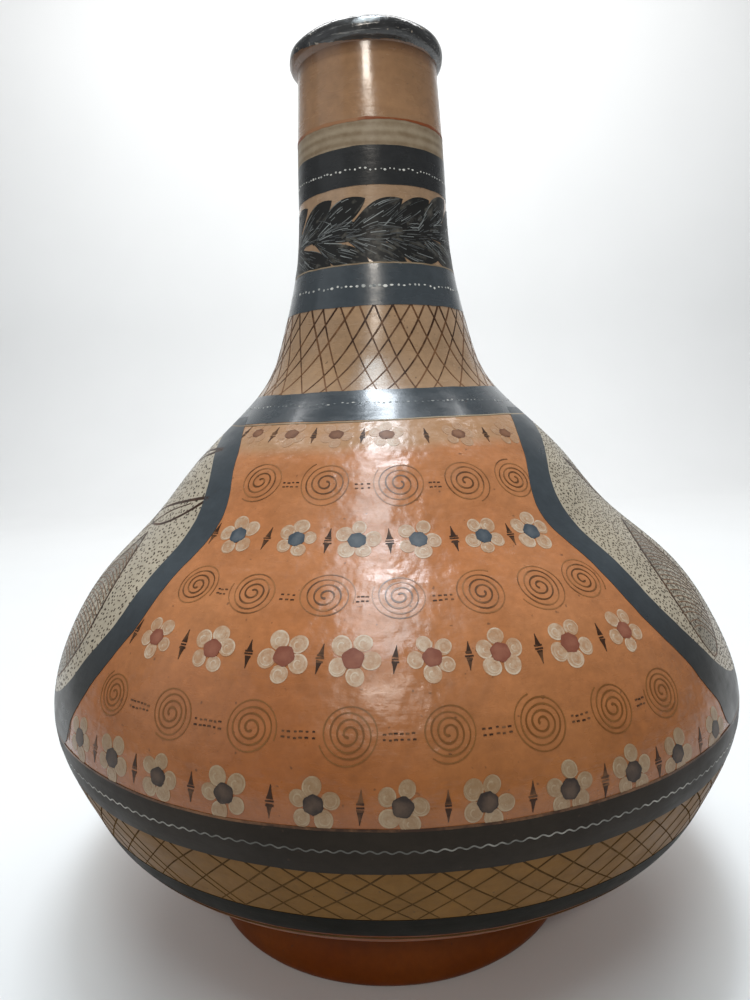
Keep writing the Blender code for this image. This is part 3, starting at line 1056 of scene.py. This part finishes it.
def make_side_frames():
    frames = Paint(3)
    steps = 160
    inner, outer = (smooth_path(edge, steps)[:, :, None] for edge in (STIPPLED_EDGE, FRAME_EDGE))
    width, height = (inner + (outer - inner) * np.linspace(0, 1, 12)).swapaxes(0, 1)
    for middle, _ in SIDES.values():
        for way in (-1, 1):
            wander = drifting(0.22, middle + way)(np.linspace(0, 360, steps))[:, None]
            frames.sheet(middle + way * (width + wander), height)
    frames.make("slate_side_frames", clay["slate_frame_slip"], "slate_slip")


def outline_leaf(paint, shade, middle, base, tip, half_width, bow, source, hatch):
    """A leaf drawn in outline from base to tip, both (degrees from the panel's middle, height).

    A hatched leaf is also shaded, and hatch is how many veins cross it.
    """
    s = np.linspace(0, 1, 40)
    base_arc, tip_arc = arc_at(base[1]), arc_at(tip[1])
    mean_radius = float(outside_radius((base[1] + tip[1]) / 2))
    run = math.radians(tip[0] - base[0]) * mean_radius
    climb = tip_arc - base_arc
    length = math.hypot(run, climb)
    side = (-climb / length, run / length)

    def on_leaf(along, off):
        off = off + bow * np.sin(math.pi * along)
        across = run * along + side[0] * off
        height = height_at(base_arc + climb * along + side[1] * off)
        return middle + base[0] + np.degrees(across / mean_radius), height

    def half_at(along):
        return half_width * np.sin(math.pi * along ** 0.8) ** 0.8

    for way in (-1, 1):
        width = 0.00055 * (0.7 + 0.6 * np.sin(math.pi * s)) * (1 + 1.4 * s ** 6)
        paint.stroke(*on_leaf(s, way * half_at(s)), width, 0.55 + 0.25 * s)
    if hatch:
        along = np.linspace(0.03, 0.97, 26)[:, None]
        off = half_at(along) * np.linspace(-1, 1, 7)
        shade.sheet(*on_leaf(along + 0 * off, off))
    for k in range(hatch):
        at = 0.12 + 0.76 * (k + source.uniform(-0.2, 0.2)) / hatch
        share = np.linspace(-0.9, 0.9, 10)
        along = at + 0.05 * (1 - share ** 2)
        paint.stroke(*on_leaf(along, share * half_at(at)), 0.00020, source.uniform(0.05, 0.30))


def make_dots(side, middle, source):
    """Rows of small dots, each a little off its place, all over a stippled panel."""
    dots = Paint(2)
    spacing = DOT_SPACING[side]
    arc, top = arc_at(DOTTED[0]), arc_at(DOTTED[1])
    turn = full_turn(6)
    edge_width, edge_height = smooth_path(STIPPLED_EDGE, 400).T
    while arc < top:
        height = float(height_at(arc))
        step = math.degrees(spacing / float(outside_radius(height)))
        reach = float(np.interp(height, edge_height, edge_width)) - 0.4
        azimuth = -reach + step * source.uniform(0, 1)
        while azimuth < reach:
            size = source.uniform(*DOT_RADIUS[side]) * MM
            radii = size * (1 + 0.12 * np.cos(turn * 2 + source.uniform(0, 6)))
            tone = source.uniform(0.35, 0.8)
            dots.dab(middle + azimuth + source.uniform(-0.4, 0.4) * step,
                     height + source.uniform(-0.42, 0.42) * spacing * 0.75, 0, 0, radii, (1.0,), (tone, tone))
            azimuth += step
        arc += spacing * 0.9
    dots.make(f"{side}_stipple_dots", brushwork["dot_ink"], "brown_slip")


def make_side_panels():
    edge = smooth_path(STIPPLED_EDGE, 90)[3:]
    share = np.linspace(-1, 1, 81)
    for side, (middle, seed) in SIDES.items():
        source = random.Random(seed)
        ground = Paint(1)
        ground.sheet(middle + (edge[:, :1] + 1.2) * share, edge[:, 1:])
        ground.make(f"{side}_stippled_ground", clay["stipple_ground"], "cream_slip")

        drawing = Paint(3)
        shade = Paint(1.5)
        toward = 1 if side == "left" else -1
        for base, tip, half, bow, hatch in SIDE_LEAVES[side]:
            outline_leaf(drawing, shade, middle, (toward * base[0], base[1]), (toward * tip[0], tip[1]),
                         half * MM, toward * bow * MM, source, hatch)
        if side == "left":
            stem_azimuth, stem_height = smooth_path(LEFT_STEM, 40).T
            drawing.stroke(middle + stem_azimuth, stem_height, 0.0005 * np.linspace(1.2, 0.6, 40), 0.65)
        shade.make(f"{side}_leaf_shading", clay["leaf_shade_slip"], "cream_slip")
        drawing.make(f"{side}_leaf_drawing", brushwork["brown_line"], "brown_slip")
        make_dots(side, middle, source)


# ---- the black on the lip
def lip_material():
    """Black slip with scratches and small chips down to the clay."""
    shader = Shader("worn_black_lip")
    clouds = shader.remap(shader.noise(40.0, 4.0, 0.6), *CLOUD_SPREAD)
    colour = shader.mix(clouds, (0.017, 0.016, 0.016), (0.040, 0.039, 0.038))
    scratches = shader.noise(1.0, 4.0, 0.7, shader.stretched((90, 90, 900)))
    colour = shader.mix(shader.remap(scratches, 0.57, 0.69, 0.0, 0.60), colour, (0.30, 0.29, 0.27))
    chips = shader.remap(shader.noise(330.0, 2.0, 0.5), 0.68, 0.72, 0.0, 0.8)
    colour = shader.mix(chips, colour, (0.42, 0.36, 0.29))
    return burnished(shader, colour, 0.20, 1.0, 0.5, 0.35, ridges=0.9, dents=1.6)


BLACK_START = 0.0027         # along the lip's outline from its seam
BLACK_END = 0.0010           # before the outline's end, in the bore
BLACK_RISE = (0.0062, 0.0012)            # how much higher the black starts at the left and right


def make_lip_paint():
    paint = Paint(2, on_lip)
    azimuth = ROUND[:, None]
    side = np.sin(np.radians(azimuth))
    start = BLACK_START + np.where(side < 0, *BLACK_RISE) * side ** 2
    start = start + drifting(0.0005, 81)(azimuth) + drifting(0.0004, 83)(azimuth * 4)
    end = LIP_LENGTHS[-1] - BLACK_END
    paint.sheet(azimuth, start + (end - start) * np.linspace(0, 1, 40), ring=True)
    paint.make("black_lip_slip", lip_material(), "black_slip")


# ---- camera, light and stage
CAMERA_PLACE = (0.0, -0.4079, 0.2686)
CAMERA_YAW = -0.0195
CAMERA_PITCH = -0.1206
CAMERA_ROLL = 0.0388
CAMERA_LENS = 25.825
CAMERA_SENSOR = 36.0         # along the picture's longer side
CAMERA_SHIFT = 0.0066
SWEEP_HALF_WIDTH = 3.0
SWEEP_BACK = 1.6             # where the floor starts to bend up
SWEEP_BEND = 0.6             # the bend's radius
SWEEP_NEAR = -2.5
SWEEP_TOP = 3.0
PAPER = ((0.77, 0.77, 0.765), (0.79, 0.79, 0.785))
WORLD_COLOUR = (0.92, 0.96, 1.0, 1.0)
WORLD_STRENGTH = 0.21
# Each light: name, place, target, width and height, power, colour
LIGHTS = (
    ("ceiling_strip", (-0.02, -0.72, 1.72), (-0.01, 0, 0.2), (0.42, 0.80), 11.5, (0.84, 0.95, 1.0)),
    ("key", (0.06, -0.10, 1.78), (0, 0, 0.25), (0.38, 0.18), 11, (0.84, 0.92, 1.0)),
    ("left_fill", (-2.2, -1.1, 1.1), (0, 0, 0.25), (2.0, 1.6), 4.5, (0.88, 0.94, 1.0)),
    ("front_high", (-0.02, -1.72, 1.43), (0, 0, 0.43), (0.36, 0.11), 7.5, (1.0, 0.92, 0.82)),
    ("wall_wash", (0.0, 0.9, 2.2), (0, 2.0, 0.3), (2.4, 0.6), 42, (1, 1, 1)),
)


def make_camera():
    cy, sy = math.cos(CAMERA_YAW), math.sin(CAMERA_YAW)
    cp, sp = math.cos(CAMERA_PITCH), math.sin(CAMERA_PITCH)
    right = Vector((cy, -sy, 0))
    ahead = Vector((cp * sy, cp * cy, sp))
    above = Vector((-sp * sy, -sp * cy, cp))
    cr, sr = math.cos(CAMERA_ROLL), math.sin(CAMERA_ROLL)
    axes = (cr * right - sr * above, sr * right + cr * above, -ahead)
    data = bpy.data.cameras.new("camera")
    data.lens = CAMERA_LENS
    data.sensor_width = CAMERA_SENSOR
    data.shift_x = CAMERA_SHIFT
    data.clip_start = 0.01
    camera = bpy.data.objects.new("camera", data)
    camera.matrix_world = Matrix.Translation(CAMERA_PLACE) @ Matrix(axes).transposed().to_4x4()
    bpy.context.scene.collection.objects.link(camera)
    bpy.context.scene.camera = camera


def area_light(name, place, target, size, power, colour):
    data = bpy.data.lights.new(name, "AREA")
    data.shape = "RECTANGLE"
    data.size, data.size_y = size
    data.energy = power
    data.color = colour
    light = bpy.data.objects.new(name, data)
    light.location = place
    light.rotation_euler = (Vector(target) - Vector(place)).to_track_quat("-Z", "Y").to_euler()
    bpy.context.scene.collection.objects.link(light)


def make_stage():
    """A pale sweep: floor, curve and wall behind the vase."""
    bend = [(SWEEP_BACK + SWEEP_BEND * math.sin(t), SWEEP_BEND * (1 - math.cos(t)))
            for t in np.linspace(0, math.pi / 2, 14)]
    profile = [(SWEEP_NEAR, 0.0), (0.0, 0.0), *bend, (SWEEP_BACK + SWEEP_BEND, SWEEP_TOP)]
    points = [(x, y, z) for y, z in profile for x in (-SWEEP_HALF_WIDTH, SWEEP_HALF_WIDTH)]
    faces = [(2 * i, 2 * i + 1, 2 * i + 3, 2 * i + 2) for i in range(len(profile) - 1)]
    mesh = bpy.data.meshes.new("pale_sweep")
    mesh.from_pydata(points, [], faces)
    mesh.shade_smooth()
    shader = Shader("pale_paper")
    colour = shader.mix(shader.remap(shader.noise(3.0, 2.0), *SPREAD), *PAPER)
    shader.feed(shader.surface.inputs["Base Color"], colour)
    shader.surface.inputs["Roughness"].default_value = 0.9
    mesh.materials.append(shader.material)
    sweep = bpy.data.objects.new("pale_sweep", mesh)
    bpy.context.scene.collection.objects.link(sweep)


def make_light():
    world = bpy.data.worlds.new("studio")
    world.use_nodes = True
    background = world.node_tree.nodes["Background"].inputs
    background["Color"].default_value = WORLD_COLOUR
    background["Strength"].default_value = WORLD_STRENGTH
    bpy.context.scene.world = world
    for light in LIGHTS:
        area_light(*light)


bpy.context.scene.view_settings.view_transform = "Standard"
make_camera()
make_stage()
make_light()
for build in (make_foot, make_bowl, make_dome, make_neck, make_lip, make_bands, make_ring_lines,
              make_white_lines, make_lattices, make_wreath, make_panels, make_side_frames, make_side_panels,
              make_lip_paint):
    build()
